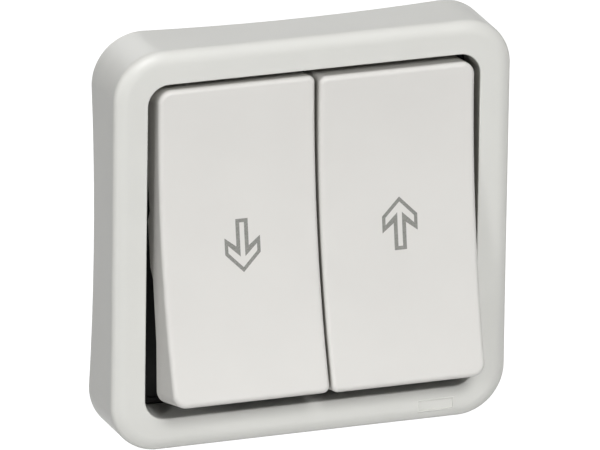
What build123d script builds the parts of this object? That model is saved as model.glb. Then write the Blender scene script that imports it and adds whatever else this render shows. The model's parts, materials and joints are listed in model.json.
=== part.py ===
from build123d import *
import math
import os

# Roller shutter switch: a square cover frame, two latching rockers side by side and
# the flush mechanism behind them. Millimetres.
#
# The pieces are drawn in the plate frame: x to the right, y up, z out of the wall, with
# z = 0 on the wall. They are stood up when they are written, so that Z is up and +Y
# points into the wall.

# Cover frame
frame_size = 85.0
frame_depth = 14.2
frame_corner = 10.3
frame_draft = 0.15
edge_across = 3.0
edge_deep = 1.86
edge_cut_share = 0.6
frame_wall = 2.2
frame_face = 2.4
side_waist = 0.78
frame_band = 7.06
window_corner = 4.4
window_edge = 0.3
skirt_wall = 1.5
skirt_rear = 5.0
rib_wall = 1.2
rib_rear = 2.5
rib_pitch = 22.0
clip_width = 9.0
clip_hook = 0.7
clip_lead = 0.8
clip_play = 0.3

# Pale rectangle that is left bare on the frame
mark_length = 7.2
mark_height = 2.0
mark_sink = 0.15
mark_across = 27.1

# Rockers, drawn about the pivot: z is the height in front of it. Both sit a little to
# the right of the window's middle, within their side play
pivot_height = 6.2
rocker_tilt = 10.2
up_rocker_tilt = 8.7
rocker_middle_gap = 0.6
rocker_side_gap = 1.8
rocker_end_gap = 2.99
rocker_shift = 0.38
rocker_draft = 2.4
rocker_inner_draft = 1.0
rocker_end_draft = 1.6
rocker_crown = 11.2
rocker_hollow_radius = 180.0
rocker_edge = 1.0
rocker_outer_corner = 2.8
rocker_inner_corner = 1.5
rocker_wall = 1.8
rocker_lug_half = 4.6
rocker_lug_height = 4.1
rocker_waist_half = 7.0
rocker_waist_height = 5.3
rocker_heel_half = 20.0
rocker_end_height = 3.8
rocker_rib_wall = 1.2
rocker_rib_rear = 7.8
rocker_rib_places = (13.0, 21.0)
seat_width = 16.0
seat_length = 12.0

# Actuators under the rockers
switch_offset = 12.0
actuator_half_length = 8.0
actuator_edge = 0.8
actuator_top = 7.5
actuator_shoulder = 4.4
actuator_hub = 4.0
trunnion_radius = 1.5
trunnion_play = 0.05
ear_wall = 2.6
ear_radius = 3.0
actuator_side_play = 0.4
actuator_rocker_play = 0.25
trunnion_end_play = 0.3
hook_width = 5.0
hook_wall = 1.4
hook_catch = 0.7
hook_land = 0.3
hook_foot = 1.2
hook_root = 0.6
hook_play = 0.1

# Plungers and their springs
plunger_bore = 2.1
plunger_play = 0.06
plunger_reach = 9.0
plunger_tip = 1.2
plunger_length = 7.6
spring_pocket = 3.2
spring_wire = 0.24
spring_radius = 1.15
spring_turns = 4.5
bore_end = 5.6

# Contacts
contact_play = 0.1
contact_strip = 0.8
contact_width = 4.6
contact_corner = 1.2
contact_swing = 8.0
contact_terminal_gap = 4.0
rivet_inset = 1.6
rivet_radius = 1.3
rivet_height = 0.6
rivet_edge = 0.3
rivet_head_radius = 1.0
rivet_head_height = 0.4
plate_strip = 1.0
plate_margin = 1.1
knife_wall = 0.8
knife_edge = 0.36

# Mechanism cover, support plate, gasket and seal
plate_thickness = 1.2
plate_inset = 2.8
plate_corner = 8.0
plate_corner_radius = 1.5
fixing_offset = 30.0
fixing_slot_width = 4.2
fixing_slot_length = 5.4
cover_thickness = 2.0
cover_lap = 1.56
cover_corner = 3.0
cover_edge_play = 0.3
cover_opening_play = 0.8
screw_opening_radius = 4.2
cover_screw_gap = 3.8
cover_screw_radius = 1.25
cover_screw_head = 2.3
cover_screw_head_height = 1.4
cover_screw_length = 8.5
cover_screw_end_play = 0.5
screw_head_edge = 0.4
screw_head_play = 0.4
screw_slot_depth = 0.6
gasket_thickness = 0.7
gasket_lip = 0.8
gasket_edge_play = 0.4
gasket_gap = 1.2
seal_width = 1.9
seal_play = 0.15

# Mechanism housing, terminals and claws
housing_half = 22.0
housing_cut = 6.0
housing_corner = 1.0
housing_depth = 24.0
housing_play = 0.3
chamber_play = 0.6
terminal_width = 7.0
terminal_length = 7.0
terminal_wall = 2.0
terminal_height = 9.0
terminal_play = 0.15
terminal_roof = 2.0
wire_bore = 1.7
wire_entry_play = 0.5
wire_inset = 4.6
screw_radius = 1.5
screw_play = 0.06
screw_head = 2.6
screw_head_height = 1.7
screw_end_play = 0.4
screw_slot = 0.7
claw_gap = 3.2
claw_screw_radius = 1.5
claw_screw_head = 2.3
claw_screw_head_height = 1.5
claw_screw_length = 19.0
claw_wall = 1.4
claw_width = 8.0
claw_height = -15.0
claw_housing_play = 0.8
claw_margin = 1.0
claw_spread = 1.6
claw_reach = 3.6
claw_tooth = 1.0
claw_bend = 0.84
claw_play = 0.06

# How far a cut runs past the face that it opens
cut_past = 1.0

half_frame = frame_size / 2
half_window = half_frame - frame_band
edge_start = frame_depth - edge_cut_share * edge_deep
cover_half = half_window + cover_lap
plate_half = cover_half - plate_inset
plate_front = plate_thickness
cover_front = plate_front + cover_thickness
terminal_outer = housing_half - terminal_wall
terminal_inner = terminal_outer - terminal_length
wire_offset = terminal_outer - wire_inset
cover_screw_offset = actuator_hub + gasket_gap + cover_screw_gap
claw_offset = housing_half + claw_gap
contact_half_length = terminal_inner - contact_terminal_gap
contact_arm = contact_half_length - rivet_inset
contact_hinge_drop = plunger_reach + contact_play + contact_strip
contact_hinge_height = pivot_height - contact_hinge_drop
swing_drop = contact_arm * math.sin(math.radians(contact_swing))
pad_top = contact_hinge_height - swing_drop - rivet_height - contact_play
plate_top = pad_top - rivet_height
plate_bottom = plate_top - plate_strip
stop_drop = (contact_arm + rivet_radius) * math.sin(math.radians(contact_swing))
stop_height = contact_hinge_height - stop_drop - contact_play - plate_top
rocker_width = half_window - rocker_side_gap - rocker_middle_gap / 2
rocker_centre = rocker_middle_gap / 2 + rocker_width / 2
rocker_length = 2 * (half_window - rocker_end_gap)
actuator_inner = rocker_middle_gap / 2 + rocker_shift + rocker_wall + actuator_rocker_play
actuator_outer = 2 * switch_offset - actuator_inner
middle_ear_half = actuator_inner - actuator_side_play


def disc(radius, x, y, z, height):
    """A round bar along z, from z upwards."""
    return Pos(x, y, z + height / 2) * Cylinder(radius, height)


def block(x_low, x_high, y_low, y_high, z_low, z_high):
    """A plain block between its six faces."""
    centre = Pos((x_low + x_high) / 2, (y_low + y_high) / 2, (z_low + z_high) / 2)
    return centre * Box(x_high - x_low, y_high - y_low, z_high - z_low)


def slab(half, corner, z_low, z_high):
    """A square plate with round corners."""
    outline = RectangleRounded(2 * half, 2 * half, corner)
    return extrude(Pos(0, 0, z_low) * outline, z_high - z_low)


def cut_slab(half, cut, z_low, z_high):
    """A square plate with its corners cut off."""
    outline = chamfer(Rectangle(2 * half, 2 * half).vertices(), cut)
    return extrude(Pos(0, 0, z_low) * outline, z_high - z_low)


def round_four(piece):
    """The same piece on all four sides of the plate."""
    return [Rot(0, 0, 90 * quarter) * piece for quarter in range(4)]


def side_profile(points, x_low, x_high):
    """A polygon in y and z, carried along x."""
    face = make_face(Plane.YZ * Polyline(*points, close=True))
    return extrude(Pos(x_low, 0, 0) * face, x_high - x_low, dir=(1, 0, 0))


def waisted_outline(half, corner, waist, height):
    """A square whose sides are drawn in at their middles by the waist."""
    run = half - corner
    edges = []
    for quarter in range(4):
        turn = Rot(0, 0, 90 * quarter)
        if waist > 0:
            edges.append(turn * ThreePointArc((run, half), (0, half - waist), (-run, half)))
        else:
            edges.append(turn * Line((run, half), (-run, half)))
        bend = half - corner + corner * math.sqrt(0.5)
        edges.append(turn * ThreePointArc((-run, half), (-bend, bend), (-half, run)))
    return Pos(0, 0, height) * make_face(edges)


def frame_outline(inset, height):
    """The frame's outline at a height, drawn in by the inset; its waist ends at the front edge."""
    drawn = inset + frame_draft * height / frame_depth
    waist = max(side_waist * (1 - height / edge_start), 0.0)
    return waisted_outline(half_frame - drawn, frame_corner - drawn, waist, height)


def waisted_block(inset, z_low, z_high):
    """The cover frame's outer form, drawn in by the inset, between two heights."""
    return loft([frame_outline(inset, z_low), frame_outline(inset, z_high)], ruled=True)


def frame_body():
    """The frame's outer form, its front edge rounded wider across the face than down the sides."""
    cut_across = edge_cut_share * edge_across
    cut_deep = edge_cut_share * edge_deep
    bevel = loft([frame_outline(0, edge_start), frame_outline(cut_across, frame_depth)], ruled=True)
    body = waisted_block(0, 0, edge_start) + bevel
    rim = body.edges().filter_by(lambda edge: abs(edge.center().Z - edge_start) < cut_deep / 4)
    slope = math.atan2(cut_deep, cut_across)
    side_radius = (edge_deep - cut_deep) / math.tan((math.pi / 2 - slope) / 2)
    face_radius = (edge_across - cut_across) / math.tan(slope / 2)
    body = fillet(rim, side_radius)
    return fillet(body.faces().sort_by(Axis.Z)[-1].edges(), face_radius)


def frame_ribs():
    """Thin ribs between the skirt and the outer wall, the same on each side."""
    ribs = []
    inner = half_window + skirt_wall / 2
    step = cover_half + cover_edge_play
    outer = half_frame - side_waist - frame_wall / 2
    front = frame_depth - frame_face / 2
    points = [
        (inner, front),
        (inner, skirt_rear),
        (step, skirt_rear),
        (step, rib_rear),
        (outer, rib_rear),
        (outer, front),
    ]
    for offset in (-rib_pitch, 0, rib_pitch):
        rib = side_profile(points, offset - rib_wall / 2, offset + rib_wall / 2)
        ribs.extend(round_four(rib))
    return ribs


def frame_clip():
    """A spring leg behind the skirt, with the hook that holds the mechanism cover."""
    inner = half_window
    outer = half_window + skirt_wall
    under = plate_front - clip_play / 3
    foot = under - clip_lead
    root = skirt_rear + skirt_wall
    points = [
        (outer, root),
        (outer, foot),
        (inner, foot),
        (inner - clip_hook, under - clip_play),
        (inner - clip_hook, under),
        (inner, under),
        (inner, root),
    ]
    return side_profile(points, -clip_width / 2, clip_width / 2)


def cover_frame():
    """The outer moulding: face, drawn-in sides, skirt round the window, ribs and clips."""
    outer = frame_body()
    hollow = waisted_block(frame_wall, 0, frame_depth - frame_face)
    skirt_front = frame_depth - frame_face / 2
    skirt = slab(half_window + skirt_wall, window_corner + skirt_wall, skirt_rear, skirt_front)
    window = slab(half_window, window_corner, -cut_past, frame_depth + cut_past)
    frame = outer - hollow + skirt
    frame += frame_ribs()
    frame -= window
    front_edges = frame.faces().sort_by(Axis.Z)[-1].edges()
    lip = front_edges.filter_by(lambda edge: edge.bounding_box().max.X < half_window + window_edge)
    lip = lip.filter_by(lambda edge: edge.bounding_box().min.X > -half_window - window_edge)
    lip = lip.filter_by(lambda edge: abs(edge.center().Y) < half_window + window_edge)
    frame = fillet(lip, window_edge)
    frame += round_four(frame_clip())
    mark_y = -(half_window + half_frame) / 2
    mark = Pos(mark_across, mark_y, frame_depth) * Box(mark_length, mark_height, 2 * mark_sink)
    return frame - mark


def wall_seal():
    """The rubber ring that lies in the frame's rear edge, against the wall."""
    outer = waisted_block(frame_wall + seal_play, 0, rib_rear)
    inner = waisted_block(frame_wall + seal_play + seal_width, -cut_past, rib_rear + cut_past)
    return outer - inner


def rocker_outline(inset, height):
    """The rocker from the front at a height, wider behind its crown, with rounder outer corners."""
    drop = rocker_crown - height
    outer = rocker_width / 2 - inset + drop * math.tan(math.radians(rocker_draft))
    inner = rocker_width / 2 - inset + drop * math.tan(math.radians(rocker_inner_draft))
    end = rocker_length / 2 - inset + drop * math.tan(math.radians(rocker_end_draft))
    outline = Pos((outer - inner) / 2, 0, 0) * Rectangle(outer + inner, 2 * end)
    least = rocker_edge / 3
    outline = fillet(outline.vertices().group_by(Axis.X)[-1], max(rocker_outer_corner - inset, least))
    outline = fillet(outline.vertices().group_by(Axis.X)[0], max(rocker_inner_corner - inset, least))
    return Pos(0, 0, height) * outline


def rocker_side(drop, rear_gap):
    """The rocker's side view: a hollow face in front and the stepped rear edge."""
    half = rocker_length / 2 + cut_past
    crown = rocker_crown - drop
    rise = rocker_hollow_radius - math.sqrt(rocker_hollow_radius**2 - half**2)
    face = ThreePointArc((-half, crown + rise), (0, crown), (half, crown + rise))
    rear = [
        (half, crown + rise),
        (half, rocker_end_height - rear_gap),
        (rocker_heel_half, rocker_waist_height - rear_gap),
        (rocker_waist_half, rocker_waist_height - rear_gap),
        (rocker_lug_half, rocker_lug_height - rear_gap),
        (-rocker_lug_half, rocker_lug_height - rear_gap),
        (-rocker_waist_half, rocker_waist_height - rear_gap),
        (-rocker_heel_half, rocker_waist_height - rear_gap),
        (-half, rocker_end_height - rear_gap),
        (-half, crown + rise),
    ]
    outline = make_face([face, Polyline(*rear)])
    return extrude(Plane.YZ.offset(-rocker_width) * outline, 2 * rocker_width)


def rocker_block(inset, drop, rear_gap):
    """The rocker's solid form between its drafted sides, face and rear edge."""
    low = rocker_end_height - rear_gap - cut_past
    high = 2 * rocker_crown
    column = loft([rocker_outline(inset, low), rocker_outline(inset, high)], ruled=True)
    return column & rocker_side(drop, rear_gap)


def rocker_hooks(x_middle):
    """Two hooks and a seat under the face, which clip the rocker on its actuator."""
    top = rocker_crown - rocker_wall / 2
    seat_outer = Box(seat_width, seat_length, top - actuator_top)
    seat_inner = Box(seat_width - 2 * rocker_rib_wall, seat_length - 2 * rocker_rib_wall, 2 * top)
    seat = Pos(x_middle, 0, (top + actuator_top) / 2) * (seat_outer - seat_inner)
    inner = actuator_half_length + hook_play
    catch = actuator_shoulder - hook_play
    foot = catch - hook_foot
    root = top + hook_root
    points = [
        (inner, root),
        (inner, catch),
        (inner - hook_catch, catch),
        (inner - hook_catch, catch - hook_land),
        (inner, foot),
        (inner + hook_wall, foot),
        (inner + hook_wall, root),
    ]
    hook = side_profile(points, x_middle - hook_width / 2, x_middle + hook_width / 2)
    return [seat, hook, Rot(0, 0, 180) * Pos(-2 * x_middle, 0, 0) * hook]


def rocker(shift):
    """One rocker about its pivot: a hollow shell with ribs and hooks, right-hand place."""
    centre = rocker_centre + shift
    shell = rocker_block(0, 0, 0)
    face_edges = shell.edges().filter_by(lambda edge: edge.center().Z > rocker_crown - rocker_edge / 2)
    shell = fillet(face_edges, rocker_edge)
    shell -= rocker_block(rocker_wall, rocker_wall, rocker_lug_height)
    front = 2 * rocker_crown
    ribs = []
    for y in rocker_rib_places:
        low = y - rocker_rib_wall / 2
        rib = block(-rocker_width, rocker_width, low, low + rocker_rib_wall, rocker_rib_rear, front)
        ribs.extend([rib, mirror(rib, Plane.XZ)])
    shell += Part() + ribs & rocker_block(rocker_wall / 2, rocker_wall / 2, 0)
    shell += rocker_hooks(switch_offset - centre)
    return Pos(centre, 0, 0) * shell


def actuator():
    """The cradle that the rocker clips on, with its two trunnions."""
    low = actuator_inner
    high = actuator_outer
    neck = actuator_hub
    bar = block(low, high, -actuator_half_length, actuator_half_length, actuator_shoulder, actuator_top)
    stem = block(low, high, -neck, neck, 0, actuator_shoulder)
    hub = Pos((low + high) / 2, 0, 0) * Rot(0, 90, 0) * Cylinder(neck, high - low)
    reach = high - low + 2 * (actuator_side_play + middle_ear_half - trunnion_end_play)
    trunnions = Pos((low + high) / 2, 0, 0) * Rot(0, 90, 0) * Cylinder(trunnion_radius, reach)
    body = bar + stem + hub + trunnions
    body = fillet(body.edges().filter_by(Axis.X).group_by(Axis.Z)[-1], actuator_edge)
    bore = disc(plunger_bore, switch_offset, 0, -neck - cut_past, neck + cut_past + bore_end)
    return body - bore


def plunger():
    """The spring-loaded pin in the actuator, with its round tip towards the wall."""
    radius = plunger_bore - plunger_play
    pin = disc(radius, 0, 0, -plunger_reach + 2 * plunger_tip, plunger_length - 2 * plunger_tip)
    nose = Pos(0, 0, -plunger_reach + plunger_tip) * Sphere(plunger_tip)
    neck = disc(plunger_tip, 0, 0, -plunger_reach + plunger_tip, plunger_tip)
    pocket_top = -plunger_reach + plunger_length
    pocket_radius = spring_radius + 2 * spring_wire
    pocket = disc(pocket_radius, 0, 0, pocket_top - spring_pocket, spring_pocket + cut_past)
    return Pos(switch_offset, 0, 0) * (pin + nose + neck - pocket)


def plunger_spring():
    """The small coil spring between the plunger's pocket and the end of the bore."""
    low = -plunger_reach + plunger_length - spring_pocket + spring_wire
    high = bore_end - spring_wire
    pitch = (high - low) / spring_turns
    path = Helix(pitch, high - low, spring_radius)
    start = path @ 0
    section = Plane(origin=start, z_dir=path % 0) * RegularPolygon(spring_wire, 6)
    coil = sweep(section, path=path, is_frenet=True)
    return Pos(switch_offset, 0, low) * coil


def rocking_contact():
    """The strip that the plunger tips over, about its own hinge line."""
    half = contact_half_length
    strip = block(-contact_width / 2, contact_width / 2, -half, half, 0, contact_strip)
    strip = fillet(strip.edges().filter_by(Axis.Z), contact_corner)
    rivet = disc(rivet_radius, 0, contact_arm, -rivet_height, rivet_height)
    rivet = chamfer(rivet.edges().sort_by(Axis.Z)[0], rivet_edge)
    head = disc(rivet_head_radius, 0, contact_arm, contact_strip, rivet_head_height)
    return strip + rivet + head


def placed_contact(side, tilt):
    """A rocking contact at its rest angle, turned against the rocker above it."""
    swing = contact_swing * tilt / rocker_tilt
    return Pos(side * switch_offset, 0, contact_hinge_height) * Rot(swing, 0, 0) * rocking_contact()


def fixed_contact(side):
    """The strip under the moving rivet, which ends on its terminal."""
    x = side * switch_offset
    half = contact_width / 2
    start = contact_arm - rivet_radius - plate_margin
    strip = block(x - half, x + half, start, terminal_outer, plate_bottom, plate_top)
    pad = disc(rivet_radius, x, contact_arm, plate_top, rivet_height)
    return strip + chamfer(pad.edges().sort_by(Axis.Z)[-1], rivet_edge)


def common_contact():
    """One stamping with a knife edge under each rocking contact, joined by a bridge."""
    half = contact_width / 2
    knife_top = contact_hinge_height - contact_play
    strips = []
    for side in (-1, 1):
        x = side * switch_offset
        strips.append(block(x - half, x + half, -terminal_outer, knife_wall, plate_bottom, plate_top))
        knife = block(x - half, x + half, -knife_wall / 2, knife_wall / 2, plate_top, knife_top)
        strips.append(fillet(knife.edges().filter_by(Axis.X).group_by(Axis.Z)[-1], knife_edge))
        strips.append(disc(rivet_radius, x, -contact_arm, plate_top, stop_height))
    bridge = block(
        -switch_offset, switch_offset, -terminal_outer, -terminal_inner, plate_bottom, plate_top
    )
    return bridge + strips


def terminal(x_side, y_side):
    """A brass clamp with its wire hole from the rear and its screw hole from the side."""
    x = x_side * switch_offset
    low = plate_bottom - terminal_height
    body = block(
        x - terminal_width / 2, x + terminal_width / 2, terminal_inner, terminal_outer, low, plate_bottom
    )
    body -= disc(wire_bore, x, wire_offset, low - cut_past, terminal_height - terminal_roof + cut_past)
    middle = (low + plate_bottom) / 2
    screw_hole = Pos(x, terminal_outer, middle) * Rot(90, 0, 0) * Cylinder(
        screw_radius, 2 * (terminal_outer - wire_offset)
    )
    body -= screw_hole
    return body if y_side > 0 else mirror(body, Plane.XZ)


def terminal_screw(x_side, y_side):
    """A slotted screw in a terminal, with its head at the housing's side."""
    x = x_side * switch_offset
    middle = plate_bottom - terminal_height / 2
    head_low = terminal_outer + terminal_play
    length = wire_inset - screw_end_play
    shank = Pos(x, head_low - length / 2, middle) * Rot(90, 0, 0) * Cylinder(
        screw_radius - screw_play, length
    )
    head = Pos(x, head_low + screw_head_height / 2, middle) * Rot(90, 0, 0) * Cylinder(
        screw_head, screw_head_height
    )
    slot = Pos(x, head_low + screw_head_height, middle) * Box(
        2 * (screw_head + cut_past), 2 * screw_slot_depth, screw_slot
    )
    screw = shank + head - slot
    return screw if y_side > 0 else mirror(screw, Plane.XZ)


def mechanism_housing():
    """The insulating body behind the wall: chambers, terminal pockets and wire holes."""
    body = cut_slab(housing_half, housing_cut, -housing_depth, plate_front)
    body = fillet(body.edges().filter_by(Axis.Z), housing_corner)
    chamber_half = contact_width / 2 + chamber_play
    for side in (-1, 1):
        x = side * switch_offset
        body -= block(
            x - chamber_half,
            x + chamber_half,
            -terminal_outer - terminal_play,
            terminal_outer + terminal_play,
            plate_bottom,
            plate_front + cut_past,
        )
        for end in (-1, 1):
            pocket = block(
                x - terminal_width / 2 - terminal_play,
                x + terminal_width / 2 + terminal_play,
                terminal_inner - terminal_play,
                terminal_outer + terminal_play,
                plate_bottom - terminal_height,
                plate_front + cut_past,
            )
            wire = disc(
                wire_bore + wire_entry_play,
                x,
                wire_offset,
                -housing_depth - cut_past,
                housing_depth + plate_bottom,
            )
            middle = plate_bottom - terminal_height / 2
            access = Pos(x, housing_half, middle) * Rot(90, 0, 0) * Cylinder(
                screw_head + screw_head_play, 2 * terminal_wall
            )
            for cut in (pocket, wire, access):
                body -= cut if end > 0 else mirror(cut, Plane.XZ)
    body -= block(
        -switch_offset,
        switch_offset,
        -terminal_outer - terminal_play,
        -terminal_inner + terminal_play,
        plate_bottom,
        plate_front + cut_past,
    )
    hole_depth = cover_screw_length - cover_thickness + cover_screw_end_play
    for side in (-1, 1):
        body -= disc(
            cover_screw_radius + screw_play,
            0,
            side * cover_screw_offset,
            plate_front - hole_depth,
            hole_depth + cut_past,
        )
    return body


def support_plate():
    """The steel plate on the wall, with four fixing slots and the housing's window."""
    plate = cut_slab(plate_half, plate_corner, 0, plate_front)
    plate = fillet(plate.edges().filter_by(Axis.Z), plate_corner_radius)
    plate -= cut_slab(housing_half + housing_play, housing_cut, -cut_past, plate_front + cut_past)
    slot = Pos(fixing_offset, 0, -cut_past) * SlotOverall(fixing_slot_length, fixing_slot_width)
    through = plate_front + 2 * cut_past
    plate -= round_four(extrude(slot, through))
    for side in (-1, 1):
        plate -= disc(claw_screw_radius + claw_play, 0, side * claw_offset, -cut_past, through)
    return plate


def ear(x_low, x_high):
    """A bearing ear on the cover, rounded about the pivot."""
    foot = block(x_low, x_high, -ear_radius, ear_radius, cover_front - cover_thickness / 2, pivot_height)
    middle = (x_low + x_high) / 2
    head = Pos(middle, 0, pivot_height) * Rot(0, 90, 0) * Cylinder(ear_radius, x_high - x_low)
    return foot + head


def mechanism_cover():
    """The dark moulding in front of the plate, with the ears that carry the actuators."""
    cover = slab(cover_half, cover_corner, plate_front, cover_front)
    low = middle_ear_half
    high = actuator_outer + actuator_side_play
    for side in (-1, 1):
        opening = block(
            low,
            high,
            -actuator_hub - cover_opening_play,
            actuator_hub + cover_opening_play,
            plate_front - cut_past,
            cover_front + cut_past,
        )
        cover -= opening if side > 0 else mirror(opening, Plane.YZ)
    start = plate_front - cut_past
    through = cover_thickness + 2 * cut_past
    cover -= round_four(disc(screw_opening_radius, fixing_offset, 0, start, through))
    for side in (-1, 1):
        cover -= disc(claw_screw_head + screw_head_play, 0, side * claw_offset, start, through)
    notch = block(
        -clip_width / 2 - clip_play,
        clip_width / 2 + clip_play,
        half_window - clip_play,
        cover_half + cut_past,
        plate_front - cut_past,
        cover_front + cut_past,
    )
    cover -= round_four(notch)
    cover += ear(-low, low)
    cover += ear(high, high + ear_wall)
    cover += ear(-high - ear_wall, -high)
    for side in (-1, 1):
        cover -= disc(cover_screw_radius + screw_play, 0, side * cover_screw_offset, start, through)
    pivot_hole = Pos(0, 0, pivot_height) * Rot(0, 90, 0) * Cylinder(
        trunnion_radius + trunnion_play, 2 * (high + ear_wall + cut_past)
    )
    return cover - pivot_hole


def splash_gasket():
    """The thin rubber sheet on the cover, open round the ears and the actuators."""
    half = half_window - gasket_edge_play
    rim_height = gasket_thickness + gasket_lip
    low = cover_front - cut_past
    high = cover_front + rim_height + cut_past
    sheet = slab(half, window_corner, cover_front, cover_front + gasket_thickness)
    rim = slab(half, window_corner, cover_front, cover_front + rim_height)
    rim -= slab(half - gasket_lip, window_corner - gasket_lip, low, high)
    reach = actuator_outer + actuator_side_play + ear_wall + gasket_gap
    row = actuator_hub + gasket_gap
    sheet -= block(-reach, reach, -row, row, low, high)
    for side in (-1, 1):
        sheet -= disc(cover_screw_head + screw_head_play, 0, side * cover_screw_offset, low, high - low)
    return sheet + rim


def slotted_screw(y, seat, radius, length, head_radius, head_height):
    """A slotted screw along z, whose head lies on the seat."""
    shank = disc(radius, 0, y, seat - length, length)
    head = disc(head_radius, 0, y, seat, head_height)
    head = chamfer(head.edges().sort_by(Axis.Z)[-1], screw_head_edge)
    slot_length = 2 * (head_radius + cut_past)
    slot = Pos(0, y, seat + head_height) * Box(slot_length, screw_slot, 2 * screw_slot_depth)
    return shank + head - slot


def cover_screw(side):
    """A screw that holds the cover on the housing."""
    y = side * cover_screw_offset
    return slotted_screw(
        y, cover_front, cover_screw_radius, cover_screw_length, cover_screw_head, cover_screw_head_height
    )


def claw():
    """The upper claw: a tapped foot on its screw and a toothed end bent outwards."""
    inner = housing_half + claw_housing_play
    outer = claw_offset + claw_screw_radius + claw_margin
    base = claw_height
    tip = outer + claw_spread
    points = [
        (inner, base),
        (outer, base),
        (tip, base - claw_reach),
        (tip - claw_wall, base - claw_reach),
        (outer - claw_bend, base - claw_wall),
        (inner, base - claw_wall),
    ]
    strip = side_profile(points, -claw_width / 2, claw_width / 2)
    strip -= disc(claw_screw_radius + claw_play, 0, claw_offset, base - 2 * claw_wall, 3 * claw_wall)
    for step in (-1, 0, 1):
        notch = Rot(90, 0, 0) * Cylinder(claw_tooth, 4 * claw_wall)
        strip -= Pos(step * claw_width / 3, tip, base - claw_reach - claw_tooth / 3) * notch
    return strip


def claw_screw(side):
    """The long screw that draws a claw towards the plate."""
    y = side * claw_offset
    return slotted_screw(
        y, plate_front, claw_screw_radius, claw_screw_length, claw_screw_head, claw_screw_head_height
    )


def at_rest(piece, side, tilt):
    """A piece that swings about the pivot, at its side and rest angle."""
    if side < 0:
        piece = Rot(0, 0, 180) * piece
    return Pos(0, 0, pivot_height) * Rot(-tilt, 0, 0) * piece


def write(name, shape):
    """Stand the shape up on the wall and write it."""
    export_step(Rot(90, 0, 0) * shape, "parts/" + name + ".step")


def main():
    os.makedirs("parts", exist_ok=True)
    write("cover_frame", cover_frame())
    write("wall_seal", wall_seal())
    write("splash_gasket", splash_gasket())
    for name, side, tilt in (("down", -1, rocker_tilt), ("up", 1, up_rocker_tilt)):
        write("rocker_" + name, at_rest(rocker(side * rocker_shift), side, tilt))
        write("actuator_" + name, at_rest(actuator(), side, tilt))
        write("plunger_" + name, at_rest(plunger(), side, tilt))
        write("spring_" + name, at_rest(plunger_spring(), side, tilt))
        write("rocking_contact_" + name, placed_contact(side, tilt))
        write("fixed_contact_" + name, fixed_contact(side))
        write("terminal_" + name, terminal(side, 1))
        write("terminal_common_" + name, terminal(side, -1))
    write("common_contact", common_contact())
    screws = [terminal_screw(x_side, y_side) for x_side in (-1, 1) for y_side in (-1, 1)]
    write("terminal_screws", Compound(screws))
    write("mechanism_cover", mechanism_cover())
    write("mechanism_housing", mechanism_housing())
    write("cover_screws", Compound([cover_screw(side) for side in (-1, 1)]))
    write("support_plate", support_plate())
    write("claw_upper", claw())
    write("claw_lower", mirror(claw(), Plane.XZ))
    write("claw_screws", Compound([claw_screw(side) for side in (-1, 1)]))


main()
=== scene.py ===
import json
import math

import bmesh
import bpy
from mathutils import Matrix, Vector


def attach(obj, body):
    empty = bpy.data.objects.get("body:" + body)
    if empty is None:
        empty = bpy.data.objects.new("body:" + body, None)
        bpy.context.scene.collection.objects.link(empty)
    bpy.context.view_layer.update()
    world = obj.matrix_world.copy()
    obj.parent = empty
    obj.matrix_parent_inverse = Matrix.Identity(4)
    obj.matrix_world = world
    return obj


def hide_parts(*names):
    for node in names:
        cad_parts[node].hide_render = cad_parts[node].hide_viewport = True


# Roller shutter switch: camera, finishes, studio, soft shading, printed arrows and mark rib.
# x is to the right, y into the wall and z up, in metres. The arrows and the rib are drawn in millimetres.

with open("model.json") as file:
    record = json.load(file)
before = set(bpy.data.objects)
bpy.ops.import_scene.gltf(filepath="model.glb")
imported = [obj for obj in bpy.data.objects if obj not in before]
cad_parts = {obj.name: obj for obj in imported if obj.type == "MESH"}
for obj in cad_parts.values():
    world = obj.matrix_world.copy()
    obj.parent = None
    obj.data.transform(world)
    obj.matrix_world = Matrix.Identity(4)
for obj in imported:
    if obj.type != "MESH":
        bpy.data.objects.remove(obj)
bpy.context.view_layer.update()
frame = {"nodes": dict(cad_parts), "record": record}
millimetre = 0.001
print("frame loaded:", len(frame["nodes"]), "nodes")


photoCamera = {
    "azimuth": 20.4643,         # degrees that it looks to the right of straight on
    "elevation": 19.3789,       # degrees that it looks down
    "roll": 0.8295,
    "lens": 741.72,
    "sensor": 36.0,
    "distance": 2.48511,
    "right": -0.002626,         # where the view's middle lies from the plate's middle
    "above": 0.0024128,
    "plateFront": -0.0142,
    "clipStart": 0.1,
    "clipEnd": 50.0,
}


def placeCamera():
    azimuth, elevation, roll = (math.radians(photoCamera[key]) for key in ("azimuth", "elevation", "roll"))
    look = Vector((
        math.sin(azimuth) * math.cos(elevation),
        math.cos(azimuth) * math.cos(elevation),
        -math.sin(elevation),
    ))
    flat = Vector((math.cos(azimuth), -math.sin(azimuth), 0.0))
    upright = flat.cross(look)
    right = math.cos(roll) * flat + math.sin(roll) * upright
    above = -math.sin(roll) * flat + math.cos(roll) * upright
    place = Vector((0.0, photoCamera["plateFront"], 0.0))
    place += photoCamera["right"] * right + photoCamera["above"] * above - photoCamera["distance"] * look
    data = bpy.data.cameras.new("photoCamera")
    data.lens = photoCamera["lens"]
    data.sensor_width = photoCamera["sensor"]
    data.clip_start = photoCamera["clipStart"]
    data.clip_end = photoCamera["clipEnd"]
    cameraObject = bpy.data.objects.new("photoCamera", data)
    turn = Matrix((right, above, -look)).transposed().to_4x4()
    cameraObject.matrix_world = Matrix.Translation(place) @ turn
    bpy.context.collection.objects.link(cameraObject)
    bpy.context.scene.camera = cameraObject


placeCamera()
print("camera placed")


def newGroup(name, inputs, outputs):
    group = bpy.data.node_groups.new(name, "ShaderNodeTree")
    for label, kind in inputs:
        group.interface.new_socket(label, in_out="INPUT", socket_type=kind)
    for label, kind in outputs:
        group.interface.new_socket(label, in_out="OUTPUT", socket_type=kind)
    start = group.nodes.new("NodeGroupInput")
    end = group.nodes.new("NodeGroupOutput")
    return group, start, end


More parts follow.
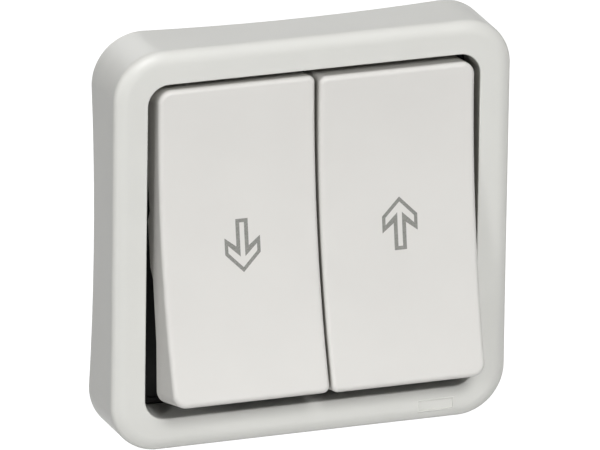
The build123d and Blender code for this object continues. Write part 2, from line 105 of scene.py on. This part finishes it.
def placeGroup(tree, group, vector, values):
    node = tree.nodes.new("ShaderNodeGroup")
    node.node_tree = group
    tree.links.new(vector, node.inputs["Vector"])
    for label, value in values.items():
        node.inputs[label].default_value = value
    return node


# Sets a socket to a plain value, or links it to another node's output.
def feed(tree, value, socket):
    if isinstance(value, (int, float, tuple)):
        socket.default_value = value
    else:
        tree.links.new(value, socket)


def mathNode(tree, operation, first, second, clamp=False):
    node = tree.nodes.new("ShaderNodeMath")
    node.operation = operation
    node.use_clamp = clamp
    feed(tree, first, node.inputs[0])
    feed(tree, second, node.inputs[1])
    return node.outputs[0]


def noiseNode(tree, vector, scale, detail=2.0, roughness=0.5):
    node = tree.nodes.new("ShaderNodeTexNoise")
    node.inputs["Detail"].default_value = detail
    node.inputs["Roughness"].default_value = roughness
    feed(tree, scale, node.inputs["Scale"])
    tree.links.new(vector, node.inputs["Vector"])
    return node.outputs["Fac"]


def mixColour(tree, mask, first, second):
    node = tree.nodes.new("ShaderNodeMix")
    node.data_type = "RGBA"
    for key, value in (("A", first), ("B", second)):
        feed(tree, value, [socket for socket in node.inputs if socket.name == key and socket.type == "RGBA"][0])
    tree.links.new(mask, node.inputs[0])
    return [socket for socket in node.outputs if socket.type == "RGBA"][0]


def shade(colour, factor):
    return tuple(min(1.0, channel * factor) for channel in colour) + (1.0,)


def bumpFrom(tree, height, strength, distance):
    bump = tree.nodes.new("ShaderNodeBump")
    bump.inputs["Strength"].default_value = strength
    bump.inputs["Distance"].default_value = distance
    tree.links.new(height, bump.inputs["Height"])
    return bump.outputs["Normal"]


# A roughness round the given one, which a mask makes a little higher or lower.
def variedRoughness(tree, mask, roughness, swing):
    return mathNode(tree, "ADD", mathNode(tree, "MULTIPLY", mask, swing), roughness - swing / 2)


def newMaterial(name):
    material = bpy.data.materials.new(name)
    material.use_nodes = True
    tree = material.node_tree
    place = tree.nodes.new("ShaderNodeTexCoord")
    return material, tree, tree.nodes["Principled BSDF"], place.outputs["Object"]


mouldedSkin = {
    "pitDetail": 3.0,
    "pitRoughness": 0.55,
    "roughnessSwing": 0.12,
    "bumpDistance": 0.00002,
    "dustScale": 95.0,          # one speck at most for each cell of this pattern
    "dustSize": 0.012,
    "dustPatchScale": 23.0,     # the specks lie in patches
    "dustPatchLimit": 0.62,
    "dustColour": (0.25, 0.24, 0.22, 1.0),
}

# Painted shade: ambient occlusion darkens the plastic towards a dark greenish grey in narrow joints and gaps.
paintedJointShade = {
    "samples": 8,
    "reach": 0.004,             # painted shade darkens joints narrower than this
    "gain": 2.2,                # a higher one keeps the painted shade to the deeper parts
    # the colour of the painted shade
    "colour": (0.17, 0.165, 0.125, 1.0),
}

# The joint-shade amount of the frame and rocker plastics is how far painted shade darkens them in their joints.
plastics = {
    "grey_plastic": {
        "name": "framePlastic", "colour": (0.695, 0.694, 0.661), "roughness": 0.42, "dust": 0.5, "jointShadeAmount": 0.8,
    },
    "white_plastic": {
        "name": "rockerPlastic", "colour": (0.704, 0.692, 0.664), "roughness": 0.40, "grain": 2600.0,
        "jointShadeAmount": 0.65,
    },
    "charcoal_plastic": {
        "name": "coverPlastic", "colour": (0.070, 0.069, 0.062), "roughness": 0.5, "grain": 2200.0,
    },
    "housing_plastic": {
        "name": "housingPlastic", "colour": (0.42, 0.42, 0.40), "roughness": 0.5, "grain": 2000.0, "bump": 0.4,
    },
    "nylon": {
        "name": "nylonPlastic", "colour": (0.62, 0.60, 0.54), "roughness": 0.38, "grain": 1800.0,
    },
    "dark_rubber": {
        "name": "sealRubber", "colour": (0.022, 0.022, 0.022), "roughness": 0.75, "grain": 1500.0, "bump": 0.5,
    },
    "ink": {
        "name": "arrowInk", "colour": (0.235, 0.235, 0.218), "roughness": 0.5, "grain": 3600.0, "dust": 0.0,
        "cloud": 0.55, "cloudScale": 3800.0,
    },
}


# The skin of a moulding: fine pits, slow clouds and a few specks of dust.
def skinGroup():
    look = mouldedSkin
    group, start, end = newGroup(
        "mouldedSkin",
        [
            ("Vector", "NodeSocketVector"), ("Grain Scale", "NodeSocketFloat"),
            ("Cloud Scale", "NodeSocketFloat"), ("Dust", "NodeSocketFloat"),
        ],
        [("Height", "NodeSocketFloat"), ("Cloud", "NodeSocketFloat"), ("Dust", "NodeSocketFloat")],
    )
    vector = start.outputs["Vector"]
    pits = noiseNode(group, vector, start.outputs["Grain Scale"], look["pitDetail"], look["pitRoughness"])
    cloud = noiseNode(group, vector, start.outputs["Cloud Scale"])
    cells = group.nodes.new("ShaderNodeTexVoronoi")
    cells.inputs["Scale"].default_value = look["dustScale"]
    group.links.new(vector, cells.inputs["Vector"])
    speck = mathNode(group, "LESS_THAN", cells.outputs["Distance"], look["dustSize"])
    patch = noiseNode(group, vector, look["dustPatchScale"])
    inPatch = mathNode(group, "GREATER_THAN", patch, look["dustPatchLimit"])
    dust = mathNode(group, "MULTIPLY", mathNode(group, "MULTIPLY", speck, inPatch), start.outputs["Dust"])
    group.links.new(pits, end.inputs["Height"])
    group.links.new(cloud, end.inputs["Cloud"])
    group.links.new(dust, end.inputs["Dust"])
    return group


# Mask of the painted shade, from ambient occlusion: 1 deep in a narrow joint, 0 on an open face
def paintedShadeMask(tree):
    joint = tree.nodes.new("ShaderNodeAmbientOcclusion")
    joint.samples = paintedJointShade["samples"]
    joint.inputs["Distance"].default_value = paintedJointShade["reach"]
    openPart = mathNode(tree, "MULTIPLY", joint.outputs["AO"], paintedJointShade["gain"], clamp=True)
    return mathNode(tree, "SUBTRACT", 1.0, openPart)


# The joint-shade amount is how far painted shade darkens the plastic in its joints
def plastic(
    skin, name, colour, roughness, grain=3200.0, bump=0.25, dust=0.3, cloud=0.035, cloudScale=55.0, jointShadeAmount=0.0
):
    material, tree, shader, vector = newMaterial(name)
    group = placeGroup(tree, skin, vector, {"Grain Scale": grain, "Cloud Scale": cloudScale, "Dust": dust})
    tone = mixColour(tree, group.outputs["Cloud"], shade(colour, 1 - cloud), shade(colour, 1 + cloud))
    tone = mixColour(tree, group.outputs["Dust"], tone, mouldedSkin["dustColour"])
    # painted shade: darker towards the shade colour where ambient occlusion finds a narrow joint
    if jointShadeAmount > 0:
        tone = mixColour(tree, mathNode(tree, "MULTIPLY", paintedShadeMask(tree), jointShadeAmount), tone, paintedJointShade["colour"])
    pits = group.outputs["Height"]
    tree.links.new(tone, shader.inputs["Base Color"])
    rough = variedRoughness(tree, pits, roughness, mouldedSkin["roughnessSwing"])
    tree.links.new(rough, shader.inputs["Roughness"])
    tree.links.new(bumpFrom(tree, pits, bump, mouldedSkin["bumpDistance"]), shader.inputs["Normal"])
    return material


drawnMetal = {
    "lineStretch": 0.06,        # draws the lines out along z
    "lineDetail": 4.0,
    "lineRoughness": 0.6,
    "stainScale": 150.0,
    "stainDetail": 3.0,
    "stainRoughness": 0.6,
    "stain": 0.12,
    "roughnessSwing": 0.2,
    "bump": 0.3,
    "bumpDistance": 0.00002,
}

metals = {
    "zinc_steel": {"name": "zincSteel", "colour": (0.60, 0.60, 0.58), "roughness": 0.34, "lines": 900.0},
    "screw_steel": {"name": "screwSteel", "colour": (0.58, 0.56, 0.48), "roughness": 0.3, "lines": 1600.0},
    "spring_steel": {"name": "springSteel", "colour": (0.45, 0.45, 0.45), "roughness": 0.28, "lines": 2200.0},
    "brass": {"name": "contactBrass", "colour": (0.72, 0.52, 0.24), "roughness": 0.3, "lines": 1200.0},
}


# Rolled or turned metal: long fine lines and soft stains.
def metalGroup():
    look = drawnMetal
    group, start, end = newGroup(
        "drawnMetal",
        [
            ("Vector", "NodeSocketVector"), ("Line Scale", "NodeSocketFloat"), ("Stain Scale", "NodeSocketFloat"),
        ],
        [("Height", "NodeSocketFloat"), ("Stain", "NodeSocketFloat")],
    )
    vector = start.outputs["Vector"]
    stretch = group.nodes.new("ShaderNodeMapping")
    stretch.inputs["Scale"].default_value = (1.0, 1.0, look["lineStretch"])
    group.links.new(vector, stretch.inputs["Vector"])
    lines = noiseNode(
        group, stretch.outputs["Vector"], start.outputs["Line Scale"], look["lineDetail"], look["lineRoughness"]
    )
    stain = noiseNode(group, vector, start.outputs["Stain Scale"], look["stainDetail"], look["stainRoughness"])
    group.links.new(lines, end.inputs["Height"])
    group.links.new(stain, end.inputs["Stain"])
    return group


def metal(drawn, name, colour, roughness, lines):
    look = drawnMetal
    material, tree, shader, vector = newMaterial(name)
    group = placeGroup(tree, drawn, vector, {"Line Scale": lines, "Stain Scale": look["stainScale"]})
    stain = group.outputs["Stain"]
    tone = mixColour(tree, stain, shade(colour, 1 - look["stain"]), shade(colour, 1 + look["stain"] / 2))
    tree.links.new(tone, shader.inputs["Base Color"])
    rough = variedRoughness(tree, stain, roughness, look["roughnessSwing"])
    tree.links.new(rough, shader.inputs["Roughness"])
    shader.inputs["Metallic"].default_value = 1.0
    bump = bumpFrom(tree, group.outputs["Height"], look["bump"], look["bumpDistance"])
    tree.links.new(bump, shader.inputs["Normal"])
    return material


skin = skinGroup()
drawn = metalGroup()
finish = {slot: plastic(skin, **look) for slot, look in plastics.items()}
finish.update({slot: metal(drawn, **look) for slot, look in metals.items()})
print("finishes made:", len(finish))


studio = {
    "worldStrength": 0.06,
    "lampDistance": 2.2,
    "lamps": (                  # name, azimuth (0 is in front), elevation, size, power
        ("frontLamp", -4.0, 31.8, 0.5, 32.8),
        ("leftLamp", -54.0, 17.0, 0.45, 10.2),
        ("topLamp", 0.0, 82.0, 0.8, 8.3),
        ("backLamp", 180.0, 14.0, 1.0, 12.0),
    ),
}


# 1 for the rays that show a background: seen, mirrored or through glass
def seenRay(tree):
    path = tree.nodes.new("ShaderNodeLightPath")
    direct = mathNode(tree, "MAXIMUM", path.outputs["Is Camera Ray"], path.outputs["Is Transmission Ray"])
    return mathNode(tree, "MAXIMUM", direct, path.outputs["Is Glossy Ray"])


# White where it is seen or mirrored, and only a faint light on the object.
def makeWorld():
    world = bpy.data.worlds.new("studio")
    bpy.context.scene.world = world
    world.use_nodes = True
    tree = world.node_tree
    background = tree.nodes["Background"]
    background.inputs["Color"].default_value = (1.0, 1.0, 1.0, 1.0)
    lift = mathNode(tree, "MULTIPLY", seenRay(tree), 1.0 - studio["worldStrength"])
    tree.links.new(mathNode(tree, "ADD", lift, studio["worldStrength"]), background.inputs["Strength"])


def makeLamp(name, azimuth, elevation, size, power):
    azimuth = math.radians(azimuth)
    elevation = math.radians(elevation)
    back = Vector((
        math.sin(azimuth) * math.cos(elevation),
        -math.cos(azimuth) * math.cos(elevation),
        math.sin(elevation),
    ))
    data = bpy.data.lights.new(name, "AREA")
    data.size = size
    data.energy = power
    lamp = bpy.data.objects.new(name, data)
    lamp.location = back * studio["lampDistance"]
    lamp.rotation_mode = "QUATERNION"
    lamp.rotation_quaternion = (-back).to_track_quat("-Z", "Y")
    lamp.visible_camera = False
    bpy.context.collection.objects.link(lamp)


bpy.context.scene.view_settings.view_transform = "Standard"
makeWorld()
for lampValues in studio["lamps"]:
    makeLamp(*lampValues)
print("world and lamps placed:", len(studio["lamps"]))


# Puts a finished bmesh into the scene as an object of its own.
def addPiece(name, bm, material):
    mesh = bpy.data.meshes.new(name)
    bm.to_mesh(mesh)
    bm.free()
    mesh.materials.append(material)
    piece = bpy.data.objects.new(name, mesh)
    bpy.context.collection.objects.link(piece)
    return piece


floorPaper = {
    "height": -0.26,
    "radius": 4.0,
    "sides": 64,
    "colour": (0.45, 0.45, 0.45, 1.0),
    "roughness": 0.9,
    "lift": 0.85,               # lifts it to white for the camera and for reflections
}


def floorMaterial():
    material, tree, shader, _ = newMaterial("floorPaper")
    shader.inputs["Base Color"].default_value = floorPaper["colour"]
    shader.inputs["Roughness"].default_value = floorPaper["roughness"]
    shader.inputs["Emission Color"].default_value = (1.0, 1.0, 1.0, 1.0)
    lift = mathNode(tree, "MULTIPLY", seenRay(tree), floorPaper["lift"])
    tree.links.new(lift, shader.inputs["Emission Strength"])
    side = tree.nodes.new("ShaderNodeNewGeometry")
    clear = tree.nodes.new("ShaderNodeBsdfTransparent")
    mix = tree.nodes.new("ShaderNodeMixShader")     # clear from below, so that the underside can be seen
    tree.links.new(side.outputs["Backfacing"], mix.inputs[0])
    tree.links.new(shader.outputs[0], mix.inputs[1])
    tree.links.new(clear.outputs[0], mix.inputs[2])
    tree.links.new(mix.outputs[0], tree.nodes["Material Output"].inputs["Surface"])
    return material


def makeFloor():
    bm = bmesh.new()
    bmesh.ops.create_circle(bm, cap_ends=True, segments=floorPaper["sides"], radius=floorPaper["radius"])
    bmesh.ops.translate(bm, verts=bm.verts, vec=(0, 0, floorPaper["height"]))
    addPiece("floor", bm, floorMaterial())


makeFloor()
print("floor placed")


softShading = {
    "angle": 32.0,              # degrees between faces up to which an edge is shaded soft
    "mergeDistance": 0.000002,
    "nodes": (
        "cover_frame", "rocker_down", "rocker_up", "wall_seal", "splash_gasket", "mechanism_cover",
        "mechanism_housing", "support_plate", "claw_upper", "claw_lower", "cover_screws", "claw_screws",
        "terminal_screws",
    ),
}


# A merged, smooth-shaded copy of a CAD node, which then stands for it.
def smoothCopy(node, body):
    mesh = frame["nodes"][node].data.copy()
    mesh.name = node + "Smooth"
    mesh.attributes.remove(mesh.attributes["custom_normal"])    # these no longer fit once merged
    bm = bmesh.new()
    bm.from_mesh(mesh)
    bmesh.ops.remove_doubles(bm, verts=bm.verts, dist=softShading["mergeDistance"])
    for face in bm.faces:
        face.smooth = True
    bm.to_mesh(mesh)
    bm.free()
    mesh.set_sharp_from_angle(angle=math.radians(softShading["angle"]))
    piece = bpy.data.objects.new(node + "Shell", mesh)
    bpy.context.collection.objects.link(piece)
    weigh = piece.modifiers.new("weigh", "WEIGHTED_NORMAL")
    weigh.keep_sharp = True
    weigh.mode = "FACE_AREA"
    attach(piece, body)
    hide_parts(node)
    return piece


nodeSlot = {entry["node"]: entry["material_slot"] for entry in frame["record"]["subparts"]}
nodeBody = {node: body for body, nodes in frame["record"]["behaviour"]["bodies"].items() for node in nodes}
for node, cadObject in frame["nodes"].items():
    cadObject.data.materials.clear()
    cadObject.data.materials.append(finish[nodeSlot[node]])
print("CAD nodes finished")
for node in softShading["nodes"]:
    smoothCopy(node, nodeBody[node])
print("soft shading given to", len(softShading["nodes"]), "nodes")


rockerFace = {
    "pivotOut": 6.2,            # the pivot's height in front of the wall
    "crown": 11.2,              # the face's middle in front of the pivot
    "hollowRadius": 180.0,
}

# Heights are measured from the tip. The inner outline is the bare field inside the line.
arrow = {
    "headHalf": 3.78,
    "shoulder": -3.78,
    "barb": -7.22,
    "notch": -5.33,
    "shaftHalf": 1.31,
    "foot": -10.90,
    "innerTip": -1.02,
    "innerHeadHalf": 3.08,
    "innerShoulder": -4.12,
    "innerBarb": -5.62,
    "innerNotch": -3.20,
    "innerShaftHalf": 0.50,
    "innerFoot": -10.15,
    "slice": 0.7,               # cuts across, so that the ink follows the hollow face
    "cutTolerance": 0.0001,
    "inkHeight": 0.03,
    "inkDepth": 0.03,           # how far it is sunk, so that no gap shows
}

# direction is 1 for up and -1 for down, and tilt is the rocker's at rest
arrowPlaces = (
    {"name": "downArrow", "body": "down_rocker", "across": -16.25, "tip": -6.36, "direction": -1, "tilt": 10.2},
    {"name": "upArrow", "body": "up_rocker", "across": 17.47, "tip": 5.87, "direction": 1, "tilt": 8.7},
)


# A point on a rocker's hollow face at rest, lifted off it.
def facePoint(across, along, lift, tilt):
    radius = rockerFace["hollowRadius"]
    sag = radius - math.sqrt(radius * radius - along * along)
    out = rockerFace["crown"] + sag + lift
    angle = math.radians(tilt)
    up = along * math.cos(angle) + out * math.sin(angle)
    front = rockerFace["pivotOut"] - along * math.sin(angle) + out * math.cos(angle)
    return Vector((across * millimetre, -front * millimetre, up * millimetre))


def arrowOutlines():
    outer = (
        (0.0, 0.0), (arrow["headHalf"], arrow["shoulder"]), (arrow["headHalf"], arrow["barb"]),
        (arrow["shaftHalf"], arrow["notch"]), (arrow["shaftHalf"], arrow["foot"]),
    )
    inner = (
        (0.0, arrow["innerTip"]), (arrow["innerHeadHalf"], arrow["innerShoulder"]),
        (arrow["innerHeadHalf"], arrow["innerBarb"]), (arrow["innerShaftHalf"], arrow["innerNotch"]),
        (arrow["innerShaftHalf"], arrow["innerFoot"]),
    )
    return [list(half) + [(-x, y) for x, y in reversed(half[1:])] for half in (outer, inner)]


def printedArrow(name, body, across, tip, direction, tilt):
    bm = bmesh.new()
    edges = []
    for outline in arrowOutlines():
        verts = [bm.verts.new((x, y, 0.0)) for x, y in outline]
        edges += [bm.edges.new((verts[i - 1], verts[i])) for i in range(len(verts))]
    bmesh.ops.triangle_fill(bm, edges=edges, use_beauty=True)
    for cut in range(1, int(-arrow["foot"] / arrow["slice"]) + 1):
        everything = bm.verts[:] + bm.edges[:] + bm.faces[:]
        bmesh.ops.bisect_plane(
            bm, geom=everything, plane_co=(0, -arrow["slice"] * cut, 0), plane_no=(0, 1, 0),
            dist=arrow["cutTolerance"],
        )
    bmesh.ops.recalc_face_normals(bm, faces=bm.faces)
    if sum(face.normal.z for face in bm.faces) < 0:
        bmesh.ops.reverse_faces(bm, faces=bm.faces)
    top = bmesh.ops.extrude_face_region(bm, geom=bm.faces[:])
    raised = {vert for vert in top["geom"] if isinstance(vert, bmesh.types.BMVert)}
    for vert in bm.verts:
        lift = arrow["inkHeight"] if vert in raised else -arrow["inkDepth"]
        vert.co = facePoint(across + vert.co.x, tip + vert.co.y * direction, lift, tilt)
    bmesh.ops.recalc_face_normals(bm, faces=bm.faces)
    piece = addPiece(name, bm, finish["ink"])
    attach(piece, body)


for arrowPlace in arrowPlaces:
    printedArrow(**arrowPlace)
print("arrows printed:", len(arrowPlaces))


markRib = {
    "across": 27.1,             # the bare field at the lower right of the frame, from its middle
    "along": -38.97,
    "front": 14.2,
    "length": 7.7,
    "height": 2.6,
    "width": 0.26,
    "proud": 0.12,
    "sunk": 0.1,
    "edge": 0.05,
    "edgeSegments": 2,
    "sharpAngle": 1.0,          # radians; folds sharper than this are rounded
}


# A low rib round the bare field, in the frame's own plastic.
def makeMarkRib():
    bm = bmesh.new()
    bmesh.ops.create_grid(bm, x_segments=1, y_segments=1, size=0.5)
    bmesh.ops.scale(bm, verts=bm.verts, vec=(markRib["length"], markRib["height"], 1.0))
    field = bm.faces[:]
    bmesh.ops.inset_region(bm, faces=field, thickness=markRib["width"], use_boundary=True, use_even_offset=True)
    bmesh.ops.delete(bm, geom=field, context="FACES_ONLY")
    raised = bmesh.ops.extrude_face_region(bm, geom=bm.faces[:])
    top = [vert for vert in raised["geom"] if isinstance(vert, bmesh.types.BMVert)]
    bmesh.ops.translate(bm, verts=top, vec=(0.0, 0.0, markRib["proud"] + markRib["sunk"]))
    bmesh.ops.translate(bm, verts=bm.verts, vec=(0.0, 0.0, -markRib["sunk"]))
    bmesh.ops.recalc_face_normals(bm, faces=bm.faces)
    ridge = [
        edge for edge in bm.edges
        if all(vert.co.z > 0 for vert in edge.verts) and edge.calc_face_angle(0.0) > markRib["sharpAngle"]
    ]
    bmesh.ops.bevel(
        bm, geom=ridge, offset=markRib["edge"], segments=markRib["edgeSegments"], profile=0.5, affect="EDGES",
        material=-1,
    )
    place = Vector((markRib["across"], -markRib["front"], markRib["along"])) * millimetre
    stand = Matrix.Rotation(math.radians(90.0), 4, "X")     # from flat to upright, its face to the front
    bmesh.ops.transform(
        bm, verts=bm.verts, matrix=Matrix.Translation(place) @ stand @ Matrix.Scale(millimetre, 4)
    )
    piece = addPiece("markRib", bm, finish["grey_plastic"])
    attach(piece, "root")


makeMarkRib()
print("mark rib made")
